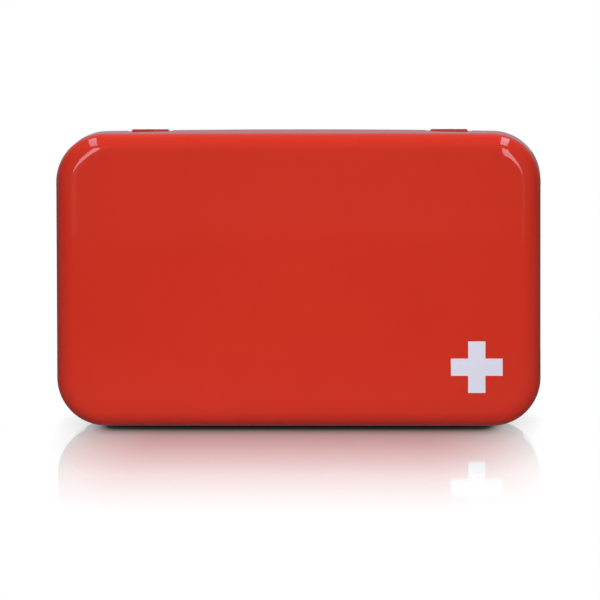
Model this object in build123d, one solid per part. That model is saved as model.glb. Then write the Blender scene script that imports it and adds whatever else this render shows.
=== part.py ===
"""Pressed-steel first aid box with a hinged lid, standing on its long opening side.

X runs along the width, the lid's face looks towards -Y and +Z is up.
The origin is the middle of the footprint, on the surface that the box stands on.
"""
from build123d import *
import math
import os

os.makedirs("parts", exist_ok=True)

# Overall sizes of the closed box
box_width = 200.0
wall_height = 121.0
box_depth = 48.0
lid_depth = 29.0

# Pressed corners and edges
corner_radius = 20.0
face_edge_radius = 7.4
back_edge_radius = 6.0

# Sheet steel, folded rims and the slip fit of the lid over the base
sheet = 0.4
hem_gap = 0.1
hem_width = 3.0
hem_break = 0.2
lid_clearance = 0.5
neck_length = 9.0

# The free edge of the lid's hinge-side wall springs outwards between the corners
bow_at_face = 0.12
bow_at_rim = 0.65
stiff_depth = 9.0

# Stop bead that the lid's rim closes against, and the low rib that grips the rim
stop_bead_height = 0.8
stop_bead_width = 2.4
stop_bead_slope = 0.7
stop_bead_gap = 0.3
stop_bead_break = 3.0
grip_rib_height = 0.2
grip_rib_width = 1.6
grip_rib_from_mouth = 4.6

# Shallow panel pressed into the back of the base
back_panel_margin = 13.0
back_panel_depth = 0.8
back_panel_slope = 1.2

# Hinges: a leaf on the lid, a leaf on the base and a wire pin
hinge_spacing = 124.0
hinge_width = 15.0
hinge_relief = 2.0
notch_depth = 4.5
axis_from_rim = 0.3
leaf_sheet = 0.35
leaf_proud = 0.5
leaf_seat_gap = 0.15
leaf_bend = 0.25
lid_pad_length = 6.0
base_pad_length = 7.0
base_pad_setback = 1.7
pin_radius = 0.6
pin_running_fit = 0.04
pin_held_fit = 0.01
pin_overhang = 0.4
pin_end_bevel = 0.25
middle_knuckle_width = 5.4
knuckle_gap = 0.3
roll_slit = 0.1

# Values that follow from the sizes above
hem_thickness = 2 * sheet + hem_gap
base_inset = hem_thickness + lid_clearance
face_y = -box_depth / 2
back_y = box_depth / 2
rim_y = face_y + lid_depth
spring_y = face_y + stiff_depth
fold_y = rim_y - hem_width
mouth_y = rim_y - neck_length
notch_y = rim_y - notch_depth
base_top = wall_height - base_inset
knuckle_radius = pin_radius + pin_running_fit + leaf_sheet
hinge_y = rim_y - axis_from_rim
overcut = 2.0


def bow_at(y):
    """Bow of the hinge-side wall at depth y: steady near the face, then growing to the folded rim."""
    share = (y - spring_y) / (fold_y - spring_y)
    return bow_at_face + (bow_at_rim - bow_at_face) * min(1.0, max(0.0, share))


def bow_circle(bow):
    """Radius and centre height of the arc whose rise over the straight stretch is the bow."""
    half_span = box_width / 2 - corner_radius
    radius = (half_span**2 + bow**2) / (2 * bow)
    return radius, wall_height + bow - radius


def wall_top(x, y):
    """Height of the lid's hinge-side wall at a place along the width and depth."""
    radius, centre_z = bow_circle(bow_at(y))
    return centre_z + math.sqrt(radius**2 - x**2)


def section_plane(y):
    """Upright plane across the box at depth y, with X and Z as its axes."""
    return Plane.XZ.offset(-y)


def lid_section(inset, y):
    """Closed outline of the lid at depth y, a given distance inside its outer surface."""
    bow_radius, bow_z = bow_circle(bow_at(y))
    corner_x = box_width / 2 - corner_radius
    reach = bow_radius - corner_radius
    upper_z = bow_z + math.sqrt(reach**2 - corner_x**2)
    meet_angle = math.degrees(math.atan2(upper_z - bow_z, corner_x))
    radius = corner_radius - inset
    side_x = box_width / 2 - inset
    with BuildSketch(section_plane(y)) as section:
        with BuildLine():
            Line((-corner_x, inset), (corner_x, inset))
            CenterArc((corner_x, corner_radius), radius, -90, 90)
            Line((side_x, corner_radius), (side_x, upper_z))
            CenterArc((corner_x, upper_z), radius, 0, meet_angle)
            CenterArc((0, bow_z), bow_radius - inset, meet_angle, 180 - 2 * meet_angle)
            CenterArc((-corner_x, upper_z), radius, 180 - meet_angle, meet_angle)
            Line((-side_x, upper_z), (-side_x, corner_radius))
            CenterArc((-corner_x, corner_radius), radius, 180, 90)
        make_face()
    return section.sketch


def base_section(inset, y):
    """Closed outline of the base at depth y, a given distance inside the lid's outer surface."""
    with BuildSketch(section_plane(y)) as section:
        with Locations((0, wall_height / 2)):
            RectangleRounded(box_width - 2 * inset, wall_height - 2 * inset, corner_radius - inset)
    return section.sketch


def edges_at(solid, y):
    """Edges that lie flat in the upright plane at depth y."""
    return solid.edges().filter_by_position(Axis.Y, y - 0.001, y + 0.001)


def lid_block(inset, start_y, end_y):
    """Solid inside the lid's outer surface by the inset, from one depth to another."""
    stops = [start_y, *(y for y in (spring_y, fold_y) if start_y < y < end_y), end_y]
    block = Part()
    for low_y, high_y in zip(stops, stops[1:]):
        if bow_at(low_y) == bow_at(high_y):
            block += extrude(lid_section(inset, high_y), high_y - low_y)
        else:
            block += loft([lid_section(inset, low_y), lid_section(inset, high_y)], ruled=True)
    return block


def base_block(inset, start_y, end_y):
    """Solid between two base outlines."""
    return extrude(base_section(inset, end_y), end_y - start_y)


def sloped_band(top_inset, foot_inset, start_y, end_y, slope):
    """Band round the base that narrows from its foot to its top by the slope on each side."""
    foot_start = base_section(foot_inset, start_y)
    top_start = base_section(top_inset, start_y + slope)
    top_end = base_section(top_inset, end_y - slope)
    foot_end = base_section(foot_inset, end_y)
    return loft([foot_start, top_start, top_end, foot_end], ruled=True)


def span_box(low, high):
    """Box between two opposite corners."""
    size = [high[i] - low[i] for i in range(3)]
    middle = [(high[i] + low[i]) / 2 for i in range(3)]
    return Pos(*middle) * Box(*size)


def lid_shell():
    """Lid drawn from one sheet, with a rim folded inwards and a notch at each hinge."""
    skin = lid_block(0, face_y, rim_y)
    skin = fillet(edges_at(skin, face_y), face_edge_radius)
    hollow = lid_block(sheet, face_y + sheet, fold_y)
    hollow = fillet(edges_at(hollow, face_y + sheet), face_edge_radius - sheet)
    throat = lid_block(hem_thickness, fold_y - overcut, rim_y + overcut)
    shell = skin - hollow - throat
    shell = chamfer(edges_at(shell, rim_y), hem_break)
    half_notch = hinge_width / 2 + hinge_relief
    for middle in hinge_middles():
        shell -= span_box(
            (middle - half_notch, notch_y, wall_height / 2),
            (middle + half_notch, rim_y + overcut, wall_height + overcut),
        )
    return shell


def stop_bead(rise, start_y, end_y):
    """Bead round the base's wall, its top a given distance inside the lid's outer surface."""
    return sloped_band(
        base_inset + rise - stop_bead_height,
        base_inset + rise,
        start_y,
        end_y,
        stop_bead_slope,
    )


def bead_breaks():
    """Blocks over the base's wall where the stop bead is left flat for the hinges."""
    half_break = hinge_width / 2 + stop_bead_break
    return [
        span_box(
            (middle - half_break, rim_y, wall_height / 2),
            (middle + half_break, back_y - back_edge_radius, wall_height + overcut),
        )
        for middle in hinge_middles()
    ]


def back_panel(margin, floor_y, end_y):
    """Sloping-sided block that presses the shallow panel into the back of the base."""
    edge_inset = base_inset + margin
    floor = base_section(edge_inset + back_panel_slope, floor_y)
    opening = base_section(edge_inset, end_y)
    return loft([floor, opening], ruled=True)


def base_shell():
    """Base drawn from one sheet, with a folded mouth, a stop bead and a pressed back panel."""
    skin = base_block(base_inset, mouth_y, back_y)
    skin = fillet(edges_at(skin, back_y), back_edge_radius)
    skin = chamfer(edges_at(skin, mouth_y), hem_break)
    bead_start = rim_y + stop_bead_gap
    bead_end = bead_start + stop_bead_width
    bead = stop_bead(0, bead_start, bead_end)
    groove = stop_bead(sheet, bead_start, bead_end)
    for gap in bead_breaks():
        bead -= gap
        groove -= gap
    hollow = base_block(base_inset + sheet, mouth_y + hem_width, back_y - sheet)
    hollow = fillet(edges_at(hollow, back_y - sheet), back_edge_radius - sheet)
    throat = base_block(base_inset + hem_thickness, mouth_y - overcut, mouth_y + hem_width + overcut)
    pocket = back_panel(back_panel_margin, back_y - back_panel_depth, back_y)
    pushed_in = back_panel(back_panel_margin - sheet, back_y - back_panel_depth - sheet, back_y - sheet)
    rib_start = mouth_y + grip_rib_from_mouth
    rib = sloped_band(
        base_inset - grip_rib_height,
        base_inset,
        rib_start,
        rib_start + grip_rib_width,
        grip_rib_width / 3,
    )
    return skin + bead + rib - (hollow + groove - pushed_in) - throat - pocket


def hinge_middles():
    """Places along the width of the middles of the left and right hinges."""
    return (-hinge_spacing / 2, hinge_spacing / 2)


def hinge_z():
    """Height of the hinge axis, so that the leaves stand proud of the wall by the set amount."""
    return wall_top(hinge_spacing / 2, rim_y) + leaf_proud - knuckle_radius


def strip(low_y, low_z, high_y, high_z):
    """Flat piece of a leaf's profile between two opposite corners."""
    with Locations(((low_y + high_y) / 2, (low_z + high_z) / 2)):
        Rectangle(high_y - low_y, high_z - low_z)


def knuckle_ring(bore):
    """Profile of the sheet rolled round the hinge axis."""
    with Locations((hinge_y, hinge_z())):
        Circle(knuckle_radius)
        Circle(bore, mode=Mode.SUBTRACT)


def across(profile, middle, width):
    """Profile drawn across the box, given its width about a place along the hinge axis."""
    return Pos(middle - width / 2, 0, 0) * extrude(profile, width, dir=(1, 0, 0))


def lid_leaf(middle):
    """Leaf that is fixed inside the lid's wall, steps out through the notch and rolls over."""
    bore = pin_radius + pin_running_fit
    outer_x = hinge_spacing / 2 + hinge_width / 2
    pad_end_y = notch_y - lid_pad_length
    seat_z = wall_top(outer_x, pad_end_y) - sheet
    top_z = hinge_z() + knuckle_radius
    step_y = notch_y + leaf_seat_gap
    with BuildSketch(Plane.YZ) as profile:
        strip(pad_end_y, seat_z - leaf_sheet, step_y + leaf_sheet, seat_z)
        strip(step_y, seat_z - leaf_sheet, step_y + leaf_sheet, top_z)
        strip(step_y, top_z - leaf_sheet, hinge_y, top_z)
        bends = profile.vertices().filter_by_position(Axis.X, step_y - 0.001, step_y + 0.001)
        fillet(bends.sort_by(Axis.Y)[-1], leaf_bend)
        knuckle_ring(bore)
        with Locations((hinge_y - bore, top_z - leaf_sheet - roll_slit / 2)):
            Rectangle(knuckle_radius, roll_slit, mode=Mode.SUBTRACT)
    leaf = across(profile.sketch, middle, hinge_width)
    half_window = middle_knuckle_width / 2 + knuckle_gap
    reach = knuckle_radius + knuckle_gap
    window = span_box(
        (middle - half_window, hinge_y - reach, hinge_z() - reach),
        (middle + half_window, hinge_y + reach, hinge_z() + reach),
    )
    return leaf - window


def base_leaf(middle):
    """Leaf that lies on the base's wall, with its middle tongue rolled up round the pin."""
    bore = pin_radius + pin_held_fit
    roll_z = hinge_z() - knuckle_radius
    pad_y = hinge_y + base_pad_setback
    ramp_y = hinge_y + pin_radius
    with BuildSketch(Plane.YZ) as tongue:
        knuckle_ring(bore)
        strip(hinge_y, roll_z, ramp_y, roll_z + leaf_sheet)
        with BuildLine():
            Polyline(
                (ramp_y, roll_z),
                (pad_y, base_top),
                (pad_y, base_top + leaf_sheet),
                (ramp_y, roll_z + leaf_sheet),
                close=True,
            )
        make_face()
        with Locations((hinge_y + bore, roll_z + leaf_sheet + roll_slit / 2)):
            Rectangle(knuckle_radius, roll_slit, mode=Mode.SUBTRACT)
    with BuildSketch(Plane.YZ) as pad:
        strip(pad_y, base_top, pad_y + base_pad_length, base_top + leaf_sheet)
    wide_pad = across(pad.sketch, middle, hinge_width)
    return wide_pad + across(tongue.sketch, middle, middle_knuckle_width)


def hinge_pin(middle):
    """Straight wire pin with bevelled ends, held in the base leaf's knuckle."""
    length = hinge_width + 2 * pin_overhang
    wire = Pos(middle, hinge_y, hinge_z()) * Rot(0, 90, 0) * Cylinder(pin_radius, length)
    return chamfer(wire.edges().filter_by(GeomType.CIRCLE), pin_end_bevel)


def save(shape, node):
    """Write one piece to its own file."""
    export_step(shape, f"parts/{node}.step")


save(lid_shell(), "lid_shell")
save(base_shell(), "base_shell")
for side, middle in zip(("left", "right"), hinge_middles()):
    save(lid_leaf(middle), f"lid_hinge_leaf_{side}")
    save(base_leaf(middle), f"base_hinge_leaf_{side}")
    save(hinge_pin(middle), f"hinge_pin_{side}")
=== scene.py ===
import math

import bmesh
import bpy
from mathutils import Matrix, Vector


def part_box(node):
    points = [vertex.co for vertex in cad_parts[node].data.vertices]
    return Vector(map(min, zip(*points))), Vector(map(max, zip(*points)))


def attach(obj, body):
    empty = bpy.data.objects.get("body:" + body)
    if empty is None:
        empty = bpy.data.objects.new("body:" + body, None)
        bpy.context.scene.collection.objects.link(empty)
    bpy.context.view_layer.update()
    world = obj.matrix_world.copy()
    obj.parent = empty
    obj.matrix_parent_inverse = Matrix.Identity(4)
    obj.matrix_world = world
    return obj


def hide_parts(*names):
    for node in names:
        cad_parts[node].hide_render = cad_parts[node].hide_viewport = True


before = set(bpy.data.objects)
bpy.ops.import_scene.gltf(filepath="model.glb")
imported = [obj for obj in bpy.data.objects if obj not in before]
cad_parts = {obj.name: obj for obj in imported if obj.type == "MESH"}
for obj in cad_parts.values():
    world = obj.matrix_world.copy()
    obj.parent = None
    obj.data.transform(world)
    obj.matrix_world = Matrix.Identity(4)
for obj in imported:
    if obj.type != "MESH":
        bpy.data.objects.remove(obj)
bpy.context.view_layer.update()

# Lid
# The lid is drawn from one sheet of steel, printed glossy red outside and left as bare
# tinplate inside. Its rim is folded inwards, and two notches in the hinge-side wall let the
# hinge leaves out. The free edge of that wall springs out a little between the corners.
lid_low, lid_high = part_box("lid_shell")
sheet = 0.0004
fold_thickness = 0.0009
fold_width = 0.003
fold_round = 0.00035
corner_radius = 0.020
face_edge_radius = 0.0074
bow_at_face = 0.00012
bow_at_rim = 0.00065
stiff_depth = 0.009
shoulder_start = 0.0110
shoulder_tilt = 0.040
notch_depth = 0.0045
hinge_places = (-0.062, 0.062)
hinge_half_width = 0.0075
hinge_relief = 0.002
notch_half_width = hinge_half_width + hinge_relief
wall_height = lid_high.z - bow_at_rim
print_thickness = 0.00003
face_y = lid_low.y + print_thickness
rim_y = lid_high.y
notch_y = rim_y - notch_depth
half_pi = math.pi / 2
sharp_angle = math.radians(32)

# Steps of the lid's and the base's meshes
last_stop = 0.0795
stop_spacing = 0.004
corner_steps = 28
fillet_steps = 18
fold_steps = 5
shoulder_steps = 8
wall_steps = 16
standing_side_steps = 24
end_wall_steps = 12
ring_past_notch = 0.002


def along(start, end, steps):
    """Evenly spaced values from start to end, both included."""
    return [start + (end - start) * i / steps for i in range(steps + 1)]


def hinge_side_stops(margin):
    """Places along the hinge-side wall that a ring of points must pass, from right to left."""
    marks = [last_stop]
    for middle in (hinge_places[1], hinge_places[0]):
        marks += [middle + margin, middle - margin]
    marks.append(-last_stop)
    stops = []
    for start, end in zip(marks, marks[1:]):
        steps = max(2, round((start - end) / stop_spacing))
        stops += along(start, end, steps)[:-1]
    return stops + [marks[-1]]


def nearest_stop(stops, x):
    """Number of the stop that lies nearest to a place along the wall."""
    return stops.index(min(stops, key=lambda stop: abs(stop - x)))


def wall_ring(outline, inset, bow, stops):
    """Points round a wall, counter-clockwise from the front, a distance inside its surface."""
    half_width, low_z, high_z, radius = outline
    corner_x = half_width - radius
    arc_radius = (corner_x**2 + bow**2) / (2 * bow)
    arc_z = high_z + bow - arc_radius
    upper_z = arc_z + math.sqrt((arc_radius - radius) ** 2 - corner_x**2)
    meet = math.atan2(upper_z - arc_z, corner_x)
    inner = radius - inset
    points = [(x, low_z + inset) for x in along(-corner_x, corner_x, standing_side_steps)[:-1]]
    for angle in along(-half_pi, 0, corner_steps)[:-1]:
        points.append((corner_x + inner * math.cos(angle), low_z + radius + inner * math.sin(angle)))
    points += [(half_width - inset, z) for z in along(low_z + radius, upper_z, end_wall_steps)[:-1]]
    for angle in along(0, meet, corner_steps):
        points.append((corner_x + inner * math.cos(angle), upper_z + inner * math.sin(angle)))
    for x in stops:
        points.append((x, arc_z + math.sqrt((arc_radius - inset) ** 2 - x**2)))
    for angle in along(math.pi - meet, math.pi, corner_steps)[:-1]:
        points.append((-corner_x + inner * math.cos(angle), upper_z + inner * math.sin(angle)))
    points += [(-half_width + inset, z) for z in along(upper_z, low_z + radius, end_wall_steps)[:-1]]
    for angle in along(math.pi, 1.5 * math.pi, corner_steps)[:-1]:
        points.append((-corner_x + inner * math.cos(angle), low_z + radius + inner * math.sin(angle)))
    return points


def quarter(inset, y, radius, inset_turn, y_turn, start, end, steps):
    """Rounded edge of a profile: points on an arc about a centre, from one angle to another."""
    return [
        (inset + inset_turn * radius * math.cos(a), y + y_turn * radius * math.sin(a))
        for a in along(start, end, steps)
    ]


def turn_outwards(mesh):
    """Turn every face of a closed mesh outwards."""
    shape = bmesh.new()
    shape.from_mesh(mesh)
    bmesh.ops.recalc_face_normals(shape, faces=shape.faces)
    shape.to_mesh(mesh)
    shape.free()


def pressed_mesh(name, rings, shades, notches=()):
    """Closed mesh through rings of points; each notch is a span of rings and of columns."""
    columns = len(rings[0])
    vertices = [point for ring in rings for point in ring]
    faces = [tuple(range(columns))[::-1]]
    marks = [shades[0]]
    cut = set()
    for first, last, start, end in notches:
        cut |= {(i, j) for i in range(first, last) for j in range(start, end)}
    for i in range(len(rings) - 1):
        here = i * columns
        there = here + columns
        for j in range(columns):
            if (i, j) in cut:
                continue
            k = (j + 1) % columns
            faces.append((here + j, here + k, there + k, there + j))
            marks.append(shades[i + 1])
    for first, last, start, end in notches:
        for j in range(start, end):
            outer = first * columns + j
            inner = last * columns + j
            faces.append((outer, outer + 1, inner + 1, inner))
            marks.append(0)
        faces.append(tuple(i * columns + start for i in range(first, last + 1)))
        faces.append(tuple(i * columns + end for i in range(last, first - 1, -1)))
        marks += [0, 0]
    faces.append(tuple(range((len(rings) - 1) * columns, len(rings) * columns)))
    marks.append(shades[-1])
    mesh = bpy.data.meshes.new(name)
    mesh.from_pydata(vertices, [], faces)
    for polygon, mark in zip(mesh.polygons, marks):
        polygon.material_index = mark
        polygon.use_smooth = True
    turn_outwards(mesh)
    mesh.set_sharp_from_angle(angle=sharp_angle)
    piece = bpy.data.objects.new(name, mesh)
    bpy.context.scene.collection.objects.link(piece)
    return piece


def lid_bow(y):
    """Bow of the hinge-side wall at depth y."""
    spring_y = face_y + stiff_depth
    share = (y - spring_y) / (rim_y - fold_width - spring_y)
    return bow_at_face + (bow_at_rim - bow_at_face) * min(1.0, max(0.0, share))


def face_profile(thickness):
    """Profile of the face's border: a shoulder that tilts slowly, then a tight round to the wall."""
    turn = math.asin(shoulder_tilt)
    shoulder_end = face_edge_radius * (1 - shoulder_tilt)
    drop = shoulder_tilt * (shoulder_start - shoulder_end) / 2
    points = []
    for share in along(0, 1, shoulder_steps):
        inset = shoulder_start + (shoulder_end - shoulder_start) * share
        points.append((inset, face_y + thickness + drop * share**2))
    centre_y = face_y + drop + face_edge_radius * math.cos(turn)
    radius = face_edge_radius - thickness
    points += quarter(face_edge_radius, centre_y, radius, -1, -1, half_pi - turn, 0, fillet_steps)[1:]
    return points


def fold_profile(y, turn):
    """Profile of a folded rim's round edge, from the outside in, turned towards +Y or -Y."""
    centre_y = y - turn * fold_round
    inner = fold_thickness - fold_round
    points = quarter(fold_round, centre_y, fold_round, -1, turn, 0, half_pi, fold_steps)
    return points + quarter(inner, centre_y, fold_round, 1, turn, half_pi, 0, fold_steps)


outer_wall = along(face_y + face_edge_radius, notch_y, wall_steps)[1:]
lid_outside = face_profile(0)
lid_outside += [(0, y) for y in outer_wall]
first_cut = len(lid_outside) - 1
lid_outside += [(0, notch_y + ring_past_notch)]
lid_outside += fold_profile(rim_y, 1)
lid_outside += [(fold_thickness, rim_y - fold_width)]
lid_inside = [(sheet, rim_y - fold_width), (sheet, notch_y)]
last_cut = len(lid_outside) + 1
lid_inside += [(sheet, y) for y in reversed(outer_wall[:-1])]
lid_inside += face_profile(sheet)[::-1]

lid_stops = hinge_side_stops(notch_half_width)
lid_outline = (lid_high.x, lid_low.z, wall_height, corner_radius)
lid_rings = []
for inset, y in lid_outside + lid_inside:
    ring = wall_ring(lid_outline, inset, lid_bow(y), lid_stops)
    lid_rings.append([(x, y, z) for x, z in ring])
first_stop = standing_side_steps + corner_steps + end_wall_steps + corner_steps + 1
lid_notches = []
for middle in hinge_places:
    start = first_stop + nearest_stop(lid_stops, middle + notch_half_width)
    end = first_stop + nearest_stop(lid_stops, middle - notch_half_width)
    lid_notches.append((first_cut, last_cut, start, end))
lid_shades = [0] * len(lid_outside) + [1] * len(lid_inside)
lid = pressed_mesh("lid_pressing", lid_rings, lid_shades, lid_notches)


def new_material(name):
    """Empty node material with its shader, and the shader's node tree."""
    material = bpy.data.materials.new(name)
    material.use_nodes = True
    tree = material.node_tree
    shader = tree.nodes["Principled BSDF"]
    return material, tree, shader


def set_inputs(node, **values):
    """Set a node's inputs by name, with a low line for each space."""
    for key, value in values.items():
        node.inputs[key.replace("_", " ")].default_value = value


def add_node(tree, kind, **values):
    """Node in a material's tree, with its inputs set by name."""
    node = tree.nodes.new(kind)
    set_inputs(node, **values)
    return node


def pattern(tree, scale, detail, roughness, stretch=None):
    """Cloudy pattern through the piece's own coordinates, stretched where that is given."""
    place = tree.nodes.new("ShaderNodeTexCoord").outputs["Object"]
    if stretch:
        mapping = add_node(tree, "ShaderNodeMapping", Scale=stretch)
        tree.links.new(place, mapping.inputs["Vector"])
        place = mapping.outputs["Vector"]
    cloud = add_node(tree, "ShaderNodeTexNoise", Scale=scale, Detail=detail, Roughness=roughness)
    tree.links.new(place, cloud.inputs["Vector"])
    return cloud.outputs["Fac"]


def colour_by(tree, share, shader, first, second):
    """Colour a finish between two tones by a pattern."""
    tone = tree.nodes.new("ShaderNodeMix")
    tone.data_type = "RGBA"
    tone.inputs["A"].default_value = (*first, 1)
    tone.inputs["B"].default_value = (*second, 1)
    tree.links.new(share, tone.inputs["Factor"])
    tree.links.new(tone.outputs["Result"], shader.inputs["Base Color"])


def dull_by(tree, share, shader, low, high):
    """Roughen a finish between two values by a pattern."""
    gloss = add_node(tree, "ShaderNodeMapRange", To_Min=low, To_Max=high)
    tree.links.new(share, gloss.inputs["Value"])
    tree.links.new(gloss.outputs["Result"], shader.inputs["Roughness"])


def ripple_by(tree, height, normal, strength):
    """Ripple a finish, or its clear coat, by a pattern."""
    bump = add_node(tree, "ShaderNodeBump", Strength=strength, Distance=0.00002)
    tree.links.new(height, bump.inputs["Height"])
    tree.links.new(bump.outputs["Normal"], normal)


def red_lacquer_material():
    """Glossy red printed lacquer: fine orange peel under a clear coat, and a slight cloud of tone."""
    material, tree, shader = new_material("red_lacquer")
    cloud = pattern(tree, 18.0, 3.0, 0.5)
    peel = pattern(tree, 650.0, 2.0, 0.45)
    colour_by(tree, cloud, shader, (0.66, 0.0365, 0.0178), (0.62, 0.0335, 0.0163))
    ripple_by(tree, peel, shader.inputs["Coat Normal"], 0.12)
    set_inputs(shader, Roughness=0.5, Specular_IOR_Level=0.0)
    set_inputs(shader, Coat_Weight=1.0, Coat_Roughness=0.035, Coat_IOR=1.5)
    return material


def bare_tinplate_material():
    """Bare tinplate: bright and slightly clouded, with faint rolling lines along its length."""
    material, tree, shader = new_material("bare_tinplate")
    lines = pattern(tree, 1.0, 4.0, 0.6, stretch=(25.0, 900.0, 900.0))
    cloud = pattern(tree, 60.0, 4.0, 0.6)
    colour_by(tree, cloud, shader, (0.70, 0.67, 0.62), (0.80, 0.77, 0.72))
    dull_by(tree, cloud, shader, 0.30, 0.46)
    ripple_by(tree, lines, shader.inputs["Normal"], 0.1)
    set_inputs(shader, Metallic=0.72)
    return material


red_lacquer = red_lacquer_material()
bare_tinplate = bare_tinplate_material()
lid.data.materials.append(red_lacquer)
lid.data.materials.append(bare_tinplate)
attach(lid, "lid")
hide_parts("lid_shell")

# Base
# The base is drawn from the same sheet. Its mouth is folded inwards and slips inside the lid,
# a bead round its wall stops the lid's rim, and a shallow panel is pressed into its back.
base_inset = 0.0014
base_low, base_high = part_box("base_shell")
back_y = base_high.y
mouth_y = base_low.y
back_edge_radius = 0.006
bead_height = 0.0008
bead_start = rim_y + 0.0003
bead_width = 0.0024
bead_break = hinge_half_width + 0.003
bead_fade = 0.001
rib_height = 0.0002
rib_start = mouth_y + 0.0046
rib_width = 0.0016
panel_margin = 0.013
panel_depth = 0.0008
panel_slope = 0.0012
straight = 0.0000001

# Steps of the base's profile, and rings set close to a turn so that what is flat stays flat
bead_steps = 12
rib_steps = 8
slope_turns = ((1, 1), (0.8, 0.94), (0.2, 0.06), (0, 0))
flat_edge = 0.0005
round_edge = 0.0004
past_bead = 0.001


def swell(start, width, height, level, steps):
    """Rounded rib of a profile as inset, depth and rise above the wall."""
    return [
        (level, start + width * t, height * (1 - math.cos(2 * math.pi * t)) / 2)
        for t in along(0, 1, steps)
    ]


def back_profile(margin, y):
    """Profile of the back, from the pressed panel over its slope to the round edge."""
    points = [(margin + panel_slope + flat_edge, y - panel_depth)]
    for run, fall in slope_turns:
        points.append((margin + panel_slope * run, y - panel_depth * fall))
    return points + [(margin - flat_edge, y), (back_edge_radius + round_edge, y)]


def flat_points(points):
    """Profile points with no rise."""
    return [(inset, y, 0.0) for inset, y in points]


back_corner_y = back_y - back_edge_radius
inner_back_radius = back_edge_radius - sheet
base_outside = flat_points(back_profile(panel_margin, back_y))
base_outside += flat_points(
    quarter(back_edge_radius, back_corner_y, back_edge_radius, -1, 1, half_pi, 0, fillet_steps)
)
base_outside += [(0, bead_start + bead_width + past_bead, 0.0)]
base_outside += swell(bead_start, bead_width, bead_height, 0, bead_steps)[::-1]
base_outside += [(0, bead_start - flat_edge, 0.0), (0, rib_start + rib_width + flat_edge, 0.0)]
base_outside += swell(rib_start, rib_width, rib_height, 0, rib_steps)[::-1]
base_outside += [(0, rib_start - flat_edge, 0.0)]
base_outside += flat_points(fold_profile(mouth_y, -1))
base_outside += [(fold_thickness, mouth_y + fold_width, 0.0)]
base_inside = [(sheet, mouth_y + fold_width, 0.0), (sheet, bead_start - flat_edge, 0.0)]
base_inside += swell(bead_start, bead_width, bead_height, sheet, bead_steps)
base_inside += [(sheet, bead_start + bead_width + past_bead, 0.0)]
base_inside += flat_points(
    quarter(back_edge_radius, back_corner_y, inner_back_radius, -1, 1, 0, half_pi, fillet_steps)
)
base_inside += flat_points(back_profile(panel_margin - sheet, back_y - sheet)[::-1])


def bead_share(x, z):
    """How much of the bead stands at a place on the wall: none where a hinge leaf lies."""
    if z < wall_height / 2:
        return 1.0
    clear = min(abs(x - middle) for middle in hinge_places) - bead_break
    return min(1.0, max(0.0, clear / bead_fade))


base_outline = (
    lid_high.x - base_inset,
    lid_low.z + base_inset,
    wall_height - base_inset,
    corner_radius - base_inset,
)
base_stops = hinge_side_stops(bead_break + bead_fade / 2)
base_stops += [middle + side * (bead_break + bead_fade) for middle in hinge_places for side in (-1, 1)]
base_stops += [middle + side * bead_break for middle in hinge_places for side in (-1, 1)]
base_stops = sorted(base_stops, reverse=True)
base_rings = []
for inset, y, rise in base_outside + base_inside:
    low_ring = wall_ring(base_outline, inset, straight, base_stops)
    high_ring = wall_ring(base_outline, inset - rise, straight, base_stops)
    ring = []
    for (x0, z0), (x1, z1) in zip(low_ring, high_ring):
        share = bead_share(x0, z0) if rise > rib_height else 1.0
        ring.append((x0 + (x1 - x0) * share, y, z0 + (z1 - z0) * share))
    base_rings.append(ring)
base_shades = [0] * len(base_outside) + [1] * len(base_inside)
base = pressed_mesh("base_pressing", base_rings, base_shades)
base.data.materials.append(red_lacquer)
base.data.materials.append(bare_tinplate)
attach(base, "base")
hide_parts("base_shell")

# Hinge leaves
# Each hinge has a leaf fixed to the lid and a leaf fixed to the base, cut from thinner sheet,
# rolled round a wire pin and lacquered with the box, their red painted darker than the box's as painted
# shade.


def painted_shade_hinge_lacquer_material():
    """The box's red over the leaves, painted much darker all over as painted shade, with a fine cloud of
    tone and gloss.
    """
    material, tree, shader = new_material("hinge_lacquer")
    leaf_cloud = pattern(tree, 420.0, 5.0, 0.65)
    # Painted shade: the leaves' red is far darker than the box's own red
    colour_by(tree, leaf_cloud, shader, (0.37, 0.021, 0.018), (0.45, 0.026, 0.022))
    dull_by(tree, leaf_cloud, shader, 0.22, 0.40)
    ripple_by(tree, leaf_cloud, shader.inputs["Normal"], 0.05)
    set_inputs(shader, Coat_Weight=0.6, Coat_Roughness=0.08)
    return material


hinge_lacquer = painted_shade_hinge_lacquer_material()
for side in ("left", "right"):
    for name in (f"lid_hinge_leaf_{side}", f"base_hinge_leaf_{side}"):
        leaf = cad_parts[name]
        leaf.data.materials.clear()
        leaf.data.materials.append(hinge_lacquer)

# Hinge pins
# Each pin is a length of drawn steel wire with bevelled ends. The base leaf's knuckle holds it,
# and the lid leaf's two knuckles turn on it.


def steel_wire_material():
    """Drawn steel wire: bright, with fine lines along its length."""
    material, tree, shader = new_material("steel_wire")
    lines = pattern(tree, 1.0, 3.0, 0.6, stretch=(60.0, 4000.0, 4000.0))
    colour_by(tree, lines, shader, (0.50, 0.49, 0.48), (0.68, 0.67, 0.66))
    set_inputs(shader, Metallic=1.0, Roughness=0.3)
    return material


steel_wire = steel_wire_material()
for side in ("left", "right"):
    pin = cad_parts[f"hinge_pin_{side}"]
    pin.data.materials.clear()
    pin.data.materials.append(steel_wire)

# Spot welds
# Three spot welds fix each leaf to its shell. The electrode leaves a low, flat-topped mark in the
# leaf, which is lacquered over with it.
weld_radius = 0.0010
weld_crown_share = 0.7
weld_rise = 0.00009
weld_sides = 28
weld_spacing = 0.0045
lid_weld_from_end = 0.0027
base_weld_from_end = 0.0030
end_face_reach = 0.00001


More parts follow.
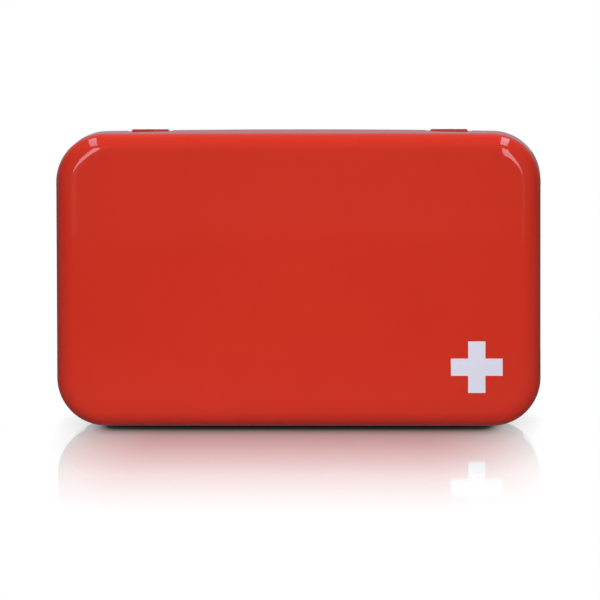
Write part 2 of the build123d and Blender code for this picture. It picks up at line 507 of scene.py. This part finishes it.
def weld_mark_tree():
    """Geometry Nodes tree that sets a low tapered mark on each point of a mesh."""
    tree = bpy.data.node_groups.new("weld_marks", "GeometryNodeTree")
    for name, kind in (
        ("Places", "NodeSocketGeometry"),
        ("Radius", "NodeSocketFloat"),
        ("Rise", "NodeSocketFloat"),
        ("Turn", "NodeSocketVector"),
        ("Finish", "NodeSocketMaterial"),
    ):
        tree.interface.new_socket(name, in_out="INPUT", socket_type=kind)
    tree.interface.new_socket("Marks", in_out="OUTPUT", socket_type="NodeSocketGeometry")
    given = tree.nodes.new("NodeGroupInput")
    result = tree.nodes.new("NodeGroupOutput")
    crown = tree.nodes.new("ShaderNodeMath")
    crown.operation = "MULTIPLY"
    crown.inputs[1].default_value = weld_crown_share
    mark = add_node(tree, "GeometryNodeMeshCone", Vertices=weld_sides)
    turn = tree.nodes.new("FunctionNodeEulerToRotation")
    spread = tree.nodes.new("GeometryNodeInstanceOnPoints")
    real = tree.nodes.new("GeometryNodeRealizeInstances")
    finish = tree.nodes.new("GeometryNodeSetMaterial")
    tree.links.new(given.outputs["Radius"], crown.inputs[0])
    tree.links.new(given.outputs["Radius"], mark.inputs["Radius Bottom"])
    tree.links.new(crown.outputs["Value"], mark.inputs["Radius Top"])
    tree.links.new(given.outputs["Rise"], mark.inputs["Depth"])
    tree.links.new(given.outputs["Turn"], turn.inputs["Euler"])
    tree.links.new(given.outputs["Places"], spread.inputs["Points"])
    tree.links.new(mark.outputs["Mesh"], spread.inputs["Instance"])
    tree.links.new(turn.outputs["Rotation"], spread.inputs["Rotation"])
    tree.links.new(spread.outputs["Instances"], real.inputs["Geometry"])
    tree.links.new(real.outputs["Geometry"], finish.inputs["Geometry"])
    tree.links.new(given.outputs["Finish"], finish.inputs["Material"])
    tree.links.new(finish.outputs["Geometry"], result.inputs["Marks"])
    return tree


def weld_marks(name, places, turn, tree):
    """Plain mesh of the marks on one body."""
    points = bpy.data.meshes.new(name + "_places")
    points.from_pydata(places, [], [])
    carrier = bpy.data.objects.new(name + "_places", points)
    bpy.context.scene.collection.objects.link(carrier)
    modifier = carrier.modifiers.new("marks", "NODES")
    modifier.node_group = tree
    settings = {"Radius": weld_radius, "Rise": weld_rise, "Turn": turn, "Finish": hinge_lacquer}
    for socket in tree.interface.items_tree:
        if socket.name in settings:
            modifier[socket.identifier] = settings[socket.name]
    evaluated = carrier.evaluated_get(bpy.context.evaluated_depsgraph_get())
    mesh = bpy.data.meshes.new_from_object(evaluated)
    mesh.name = name
    carrier.modifiers.remove(modifier)
    bpy.data.objects.remove(carrier)
    marks = bpy.data.objects.new(name, mesh)
    bpy.context.scene.collection.objects.link(marks)
    return marks


lid_weld_places = []
base_weld_places = []
for side, middle in zip(("left", "right"), hinge_places):
    lid_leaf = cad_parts[f"lid_hinge_leaf_{side}"]
    base_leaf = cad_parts[f"base_hinge_leaf_{side}"]
    lid_end = min(v.co.y for v in lid_leaf.data.vertices)
    base_end = max(v.co.y for v in base_leaf.data.vertices)
    lid_z = min(v.co.z for v in lid_leaf.data.vertices if v.co.y < lid_end + end_face_reach)
    base_z = max(v.co.z for v in base_leaf.data.vertices if v.co.y > base_end - end_face_reach)
    for step in (-1, 0, 1):
        x = middle + step * weld_spacing
        lid_weld_places.append((x, lid_end + lid_weld_from_end, lid_z))
        base_weld_places.append((x, base_end - base_weld_from_end, base_z))
weld_tree = weld_mark_tree()
lid_welds = weld_marks("lid_weld_marks", lid_weld_places, (math.pi, 0.0, 0.0), weld_tree)
base_welds = weld_marks("base_weld_marks", base_weld_places, (0.0, 0.0, 0.0), weld_tree)
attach(lid_welds, "lid")
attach(base_welds, "base")

# White cross
# A plain cross of five equal squares is printed in white ink over the red, on the lid's lower
# right.
cross_middle = (0.0737, 0.0249)
cross_arm = 0.0071
half_arm = cross_arm / 2
reach = 1.5 * cross_arm
cross_corners = []
for turn in range(4):
    cosine = round(math.cos(turn * half_pi))
    sine = round(math.sin(turn * half_pi))
    for x, z in ((half_arm, half_arm), (reach, half_arm), (reach, -half_arm)):
        cross_corners.append((x * cosine + z * sine, z * cosine - x * sine))
front = [(cross_middle[0] + x, lid_low.y, cross_middle[1] + z) for x, z in cross_corners]
rear = [(x, face_y, z) for x, y, z in front]
count = len(front)
cross_faces = [tuple(range(count)), tuple(range(count, 2 * count))[::-1]]
for i in range(count):
    k = (i + 1) % count
    cross_faces.append((k, i, i + count, k + count))
cross_mesh = bpy.data.meshes.new("white_cross")
cross_mesh.from_pydata(front + rear, [], cross_faces)
turn_outwards(cross_mesh)
cross = bpy.data.objects.new("white_cross", cross_mesh)
bpy.context.scene.collection.objects.link(cross)


def white_print_material():
    """White printing ink over red: faintly cool, with a fine screen of tone."""
    material, tree, shader = new_material("white_print")
    grain = pattern(tree, 900.0, 3.0, 0.6)
    colour_by(tree, grain, shader, (0.73, 0.75, 0.88), (0.77, 0.79, 0.91))
    set_inputs(shader, Roughness=0.35, Coat_Weight=0.8, Coat_Roughness=0.06)
    return material


cross.data.materials.append(white_print_material())
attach(cross, "lid")

# Floor
# Glossy white studio floor. A shadow is painted into its tone where the box stands on it, and it mirrors
# the box in a strip that fades towards the camera. To the lacquer the floor is a painted glow, brighter
# near the box.
floor_half_width = 1.5
floor_front = -1.2
floor_back = 6.0
floor_reach = 0.5
stand_half_width = 0.0705
stand_front = -0.0166
stand_back = 0.018
back_steepness = 3.0
side_steepness = 14.0

# Painted shadow tones and mirror shares as pairs of distance and tone, and fades as two values with the
# tone at each
painted_shadow_tones = (
    (0.0, 0.012),
    (0.014, 0.052),
    (0.028, 0.50),
    (0.043, 0.71),
    (0.089, 0.86),
    (0.20, 1.0),
    (0.5, 1.0),
)
mirror_tones = (
    (0.0, 0.7),
    (0.043, 0.63),
    (0.089, 0.58),
    (0.20, 0.315),
    (0.32, 0.08),
    (0.41, 0.025),
    (0.5, 0.0),
)
mirror_side_fade = (0.052, 0.132, 1.0, 0.0)
mirror_steep_fade = (0.6, 0.9, 0.12, 1.0)
matt_fade = (0.09, 0.13, 0.72, 0.25)
# Strength of the floor's painted glow that the lacquer mirrors, by depth
lacquer_fade = (-0.5, -0.05, 0.02, 0.13)
white_fade = (0.2, floor_reach, 0.0, 1.0)
real_light_share = 0.12
white_glow = 1.075


def flat_stage_mesh(name, corners):
    """Single face of the studio, linked to the scene."""
    mesh = bpy.data.meshes.new(name)
    mesh.from_pydata(corners, [], [(0, 1, 2, 3)])
    stage_piece = bpy.data.objects.new(name, mesh)
    bpy.context.scene.collection.objects.link(stage_piece)
    return stage_piece


floor = flat_stage_mesh(
    "floor",
    [
        (-floor_half_width, floor_front, 0),
        (floor_half_width, floor_front, 0),
        (floor_half_width, floor_back, 0),
        (-floor_half_width, floor_back, 0),
    ],
)
floor_material, floor_tree, floor_shader = new_material("studio_floor")
floor_tree.nodes.remove(floor_shader)


def sum_node(operation, *inputs):
    """Math node of the floor, each input a number or another node's output."""
    node = floor_tree.nodes.new("ShaderNodeMath")
    node.operation = operation
    for socket, value in zip(node.inputs, inputs):
        if isinstance(value, (int, float)):
            socket.default_value = value
        else:
            floor_tree.links.new(value, socket)
    return node.outputs[0]


def tone_node(tones, distance):
    """Tone of the floor by distance, through the given stops."""
    node = floor_tree.nodes.new("ShaderNodeValToRGB")
    stops = node.color_ramp.elements
    while len(stops) < len(tones):
        stops.new(0.5)
    for stop, (place, tone) in zip(stops, tones):
        stop.position = place / floor_reach
        stop.color = (tone, tone, tone, 1)
    floor_tree.links.new(sum_node("DIVIDE", distance, floor_reach), node.inputs["Fac"])
    return node.outputs["Color"]


def fade_node(value, low, high, low_tone, high_tone):
    """Smooth change from one tone to another between two values."""
    node = floor_tree.nodes.new("ShaderNodeMapRange")
    node.interpolation_type = "SMOOTHSTEP"
    set_inputs(node, From_Min=low, From_Max=high, To_Min=low_tone, To_Max=high_tone)
    floor_tree.links.new(value, node.inputs["Value"])
    return node.outputs["Result"]


def shader_mix(share, first, second):
    """Two shaders mixed by a number or a node's output."""
    node = floor_tree.nodes.new("ShaderNodeMixShader")
    if isinstance(share, float):
        node.inputs["Fac"].default_value = share
    else:
        floor_tree.links.new(share, node.inputs["Fac"])
    floor_tree.links.new(first, node.inputs[1])
    floor_tree.links.new(second, node.inputs[2])
    return node.outputs["Shader"]


place = floor_tree.nodes.new("ShaderNodeTexCoord")
split = floor_tree.nodes.new("ShaderNodeSeparateXYZ")
floor_tree.links.new(place.outputs["Object"], split.inputs["Vector"])
depth_place = split.outputs["Y"]
ahead = sum_node("SUBTRACT", stand_front, depth_place)
behind = sum_node("MULTIPLY", sum_node("SUBTRACT", depth_place, stand_back), back_steepness)
depth_away = sum_node("MAXIMUM", sum_node("MAXIMUM", ahead, behind), 0.0)
side_place = sum_node("ABSOLUTE", split.outputs["X"])
side_away = sum_node("MAXIMUM", sum_node("SUBTRACT", side_place, stand_half_width), 0.0)
side_away = sum_node("POWER", sum_node("MULTIPLY", side_away, side_steepness), 2.0)
side_squared = sum_node("POWER", side_away, 2.0)
depth_squared = sum_node("POWER", depth_away, 2.0)
away = sum_node("SQRT", sum_node("ADD", side_squared, depth_squared))
# Painted shadow: the floor's tone falls towards black near the box's footprint, and tints the lit floor,
# its glow and its mirror
painted_shadow_tone = tone_node(painted_shadow_tones, away)
mirror_depth_tone = tone_node(mirror_tones, depth_away)
mirror_share = sum_node("MULTIPLY", mirror_depth_tone, fade_node(side_place, *mirror_side_fade))
grazing = add_node(floor_tree, "ShaderNodeLayerWeight", Blend=0.5).outputs["Facing"]
mirror_share = sum_node("MULTIPLY", mirror_share, fade_node(grazing, *mirror_steep_fade))
lit = add_node(floor_tree, "ShaderNodeBsdfDiffuse")
glow = add_node(floor_tree, "ShaderNodeEmission", Strength=white_glow)
mirror = add_node(floor_tree, "ShaderNodeBsdfGlossy", Roughness=0.04)
white = add_node(floor_tree, "ShaderNodeEmission", Strength=1.0)
matt = add_node(floor_tree, "ShaderNodeBsdfDiffuse")
# Painted light: to the lacquer the floor is a glow, brighter near and under the box than far in front,
# in place of lit floor
seen_in_lacquer = add_node(floor_tree, "ShaderNodeEmission", Color=(0.94, 0.95, 1.0, 1))
floor_rays = floor_tree.nodes.new("ShaderNodeLightPath")
for shader in (lit, glow, mirror):
    floor_tree.links.new(painted_shadow_tone, shader.inputs["Color"])
floor_tree.links.new(fade_node(side_place, *matt_fade), matt.inputs["Color"])
floor_tree.links.new(fade_node(depth_place, *lacquer_fade), seen_in_lacquer.inputs["Strength"])
surface = shader_mix(1 - real_light_share, lit.outputs["BSDF"], glow.outputs["Emission"])
surface = shader_mix(mirror_share, surface, mirror.outputs["BSDF"])
surface = shader_mix(fade_node(away, *white_fade), surface, white.outputs["Emission"])
in_lacquer = floor_rays.outputs["Is Glossy Ray"]
bounced = shader_mix(in_lacquer, matt.outputs["BSDF"], seen_in_lacquer.outputs["Emission"])
surface = shader_mix(floor_rays.outputs["Is Camera Ray"], bounced, surface)
floor_tree.links.new(surface, floor_tree.nodes["Material Output"].inputs["Surface"])
floor.data.materials.append(floor_material)

# White card
# A low white card stands behind the box, out of the camera's sight, so that the floor mirrors
# white on both sides of the box.
card_y = 0.35
card_half_width = 0.2
card_height = 0.078
card = flat_stage_mesh(
    "card",
    [
        (-card_half_width, card_y, 0),
        (card_half_width, card_y, 0),
        (card_half_width, card_y, card_height),
        (-card_half_width, card_y, card_height),
    ],
)
card_material, card_tree, card_shader = new_material("white_card")
card_tree.nodes.remove(card_shader)
card_glow = add_node(card_tree, "ShaderNodeEmission", Strength=1.0)
card_tree.links.new(card_glow.outputs["Emission"], card_tree.nodes["Material Output"].inputs["Surface"])
card.data.materials.append(card_material)
card.visible_camera = False
card.visible_diffuse = False
card.visible_shadow = False

# Studio
# White to the camera. To the object it is a dim room, a little lighter behind, with a broad soft
# light from the front, and a tall box and an overhead box on each side that the lacquer mirrors.
# The side lamps' places and sizes are shares of their distance, for the left (-1) and right (1).
room_colour = (0.94, 0.88, 0.98, 1)
front_room = 0.085
back_room = 0.37
room_turn_start = 0.15
room_turn_end = 0.8
world = bpy.data.worlds.new("studio")
bpy.context.scene.world = world
world.use_nodes = True
world_tree = world.node_tree
room = world_tree.nodes["Background"]
set_inputs(room, Color=room_colour)
toward = world_tree.nodes.new("ShaderNodeTexCoord")
axes = world_tree.nodes.new("ShaderNodeSeparateXYZ")
level = world_tree.nodes.new("ShaderNodeMapRange")
set_inputs(level, From_Min=room_turn_start, From_Max=room_turn_end, To_Min=front_room, To_Max=back_room)
world_tree.links.new(toward.outputs["Generated"], axes.inputs["Vector"])
world_tree.links.new(axes.outputs["Y"], level.inputs["Value"])
world_tree.links.new(level.outputs["Result"], room.inputs["Strength"])
backdrop = add_node(world_tree, "ShaderNodeBackground", Color=(1, 1, 1, 1), Strength=1.0)
rays = world_tree.nodes.new("ShaderNodeLightPath")
choose = world_tree.nodes.new("ShaderNodeMixShader")
world_tree.links.new(rays.outputs["Is Camera Ray"], choose.inputs["Fac"])
world_tree.links.new(room.outputs["Background"], choose.inputs[1])
world_tree.links.new(backdrop.outputs["Background"], choose.inputs[2])
world_tree.links.new(choose.outputs["Shader"], world_tree.nodes["World Output"].inputs["Surface"])


def soft_box(name, place, target, size, radiance):
    """Rectangular soft box aimed at a point, as bright all over as the given radiance."""
    width, height = size
    light = bpy.data.lights.new(name, "AREA")
    light.shape = "RECTANGLE"
    light.size = width
    light.size_y = height
    light.energy = radiance * math.pi * width * height
    lamp = bpy.data.objects.new(name, light)
    lamp.location = place
    lamp.rotation_euler = (Vector(target) - Vector(place)).to_track_quat("-Z", "Y").to_euler()
    bpy.context.scene.collection.objects.link(lamp)
    return lamp


box_middle = Vector((0.0, 0.0, wall_height / 2))
key_elevation = math.radians(29)
key_distance = 1.8
key_size = (1.0, 0.6)
key_radiance = 12.6
key_direction = Vector((0, -math.cos(key_elevation), math.sin(key_elevation)))
key = soft_box("key", box_middle + key_distance * key_direction, box_middle, key_size, key_radiance)
key.visible_glossy = False
top_place = (0, 0.2, 1.3)
top_size = (0.4, 0.6)
top_radiance = 13.0
top = soft_box("top", top_place, (0, 0, wall_height), top_size, top_radiance)
top.visible_glossy = False
overhead_colour = (0.62, 0.84, 1.0)
overhead_radiance = {-1: 4.4, 1: 5.6}
overhead_height = 1.0
overhead_side = {-1: (0.24, 0.46), 1: (0.22, 0.44)}
overhead_reach = {-1: (-1.0, 0.35), 1: (-0.75, 0.52)}
tall_colour = (0.90, 0.84, 1.0)
tall_radiance = {-1: 5.2, 1: 5.2}
tall_distance = 1.5
tall_middle = {-1: (0.160, 0.275), 1: (0.208, 0.303)}
tall_size = {-1: (0.150, 0.570), 1: (0.130, 0.660)}
tall_lean = {-1: 0.0, 1: math.radians(-15.5)}
tall_turn = math.radians(1.7)
low_share = 0.05
low_middle = {-1: (0.160, -0.305), 1: (0.178, -0.305)}
low_size = {-1: (0.150, 0.590), 1: (0.115, 0.590)}
mirroring_corner_x = 0.085
deepest_ray = 2.5


def seen_directly(lamp):
    """Let a lamp be mirrored by the lacquer, and not again by the floor."""
    lamp.data.use_nodes = True
    tree = lamp.data.node_tree
    depth = tree.nodes.new("ShaderNodeLightPath").outputs["Ray Depth"]
    first = tree.nodes.new("ShaderNodeMath")
    first.operation = "LESS_THAN"
    first.inputs[1].default_value = deepest_ray
    tree.links.new(depth, first.inputs[0])
    tree.links.new(first.outputs["Value"], tree.nodes["Emission"].inputs["Strength"])


for hand in (-1, 1):
    near_side, far_side = overhead_side[hand]
    near_reach, far_reach = overhead_reach[hand]
    x = hand * (mirroring_corner_x + (near_side + far_side) / 2 * overhead_height)
    y = (near_reach + far_reach) / 2 * overhead_height
    z = wall_height + overhead_height
    size = ((far_side - near_side) * overhead_height, (far_reach - near_reach) * overhead_height)
    overhead = soft_box(f"overhead_{hand}", (x, y, z), (x, y, 0), size, overhead_radiance[hand])
    overhead.data.color = overhead_colour
    mirrored = [overhead]
    for name, middle, shares, lean, radiance in (
        ("tall", tall_middle[hand], tall_size[hand], tall_lean[hand], tall_radiance[hand]),
        ("low", low_middle[hand], low_size[hand], 0.0, tall_radiance[hand] * low_share),
    ):
        x = hand * (mirroring_corner_x + middle[0] * tall_distance) - math.sin(tall_turn) * tall_distance
        y = face_y - tall_distance
        z = wall_height + middle[1] * tall_distance
        size = (shares[0] * tall_distance, shares[1] * tall_distance)
        lamp = soft_box(f"{name}_{hand}", (x, y, z), (x, 0, z), size, radiance)
        lamp.rotation_euler.rotate_axis("Z", lean)
        lamp.data.color = tall_colour
        mirrored.append(lamp)
    for lamp in mirrored:
        lamp.visible_diffuse = False
        seen_directly(lamp)

# Camera
# A long lens, nearly level, a little above the box's middle as in the photograph.
photo_width = 600
face_width_in_photo = 484.3
metres_per_pixel = (lid_high.x - lid_low.x) / face_width_in_photo
box_middle_x_in_photo = 298.3
box_middle_z_in_photo = 279.9
aim_behind_face = 0.006
camera_distance = 2.6
sensor_width = 36.0
elevation = math.radians(4.4)
azimuth = math.radians(1.9)
roll = math.radians(0.14)
aim = Vector(
    (
        (photo_width / 2 - box_middle_x_in_photo) * metres_per_pixel,
        face_y + aim_behind_face,
        wall_height / 2 - (photo_width / 2 - box_middle_z_in_photo) * metres_per_pixel,
    )
)
direction = Vector(
    (
        math.sin(azimuth) * math.cos(elevation),
        -math.cos(azimuth) * math.cos(elevation),
        math.sin(elevation),
    )
)
lens = bpy.data.cameras.new("camera")
lens.sensor_fit = "HORIZONTAL"
lens.sensor_width = sensor_width
lens.lens = sensor_width * camera_distance / (photo_width * metres_per_pixel)
lens.clip_end = 50.0
camera = bpy.data.objects.new("camera", lens)
camera.location = aim + direction * camera_distance
camera.rotation_euler = (-direction).to_track_quat("-Z", "Y").to_euler()
camera.rotation_euler.rotate_axis("Z", -roll)
bpy.context.scene.collection.objects.link(camera)
bpy.context.scene.camera = camera
bpy.context.scene.view_settings.view_transform = "Standard"
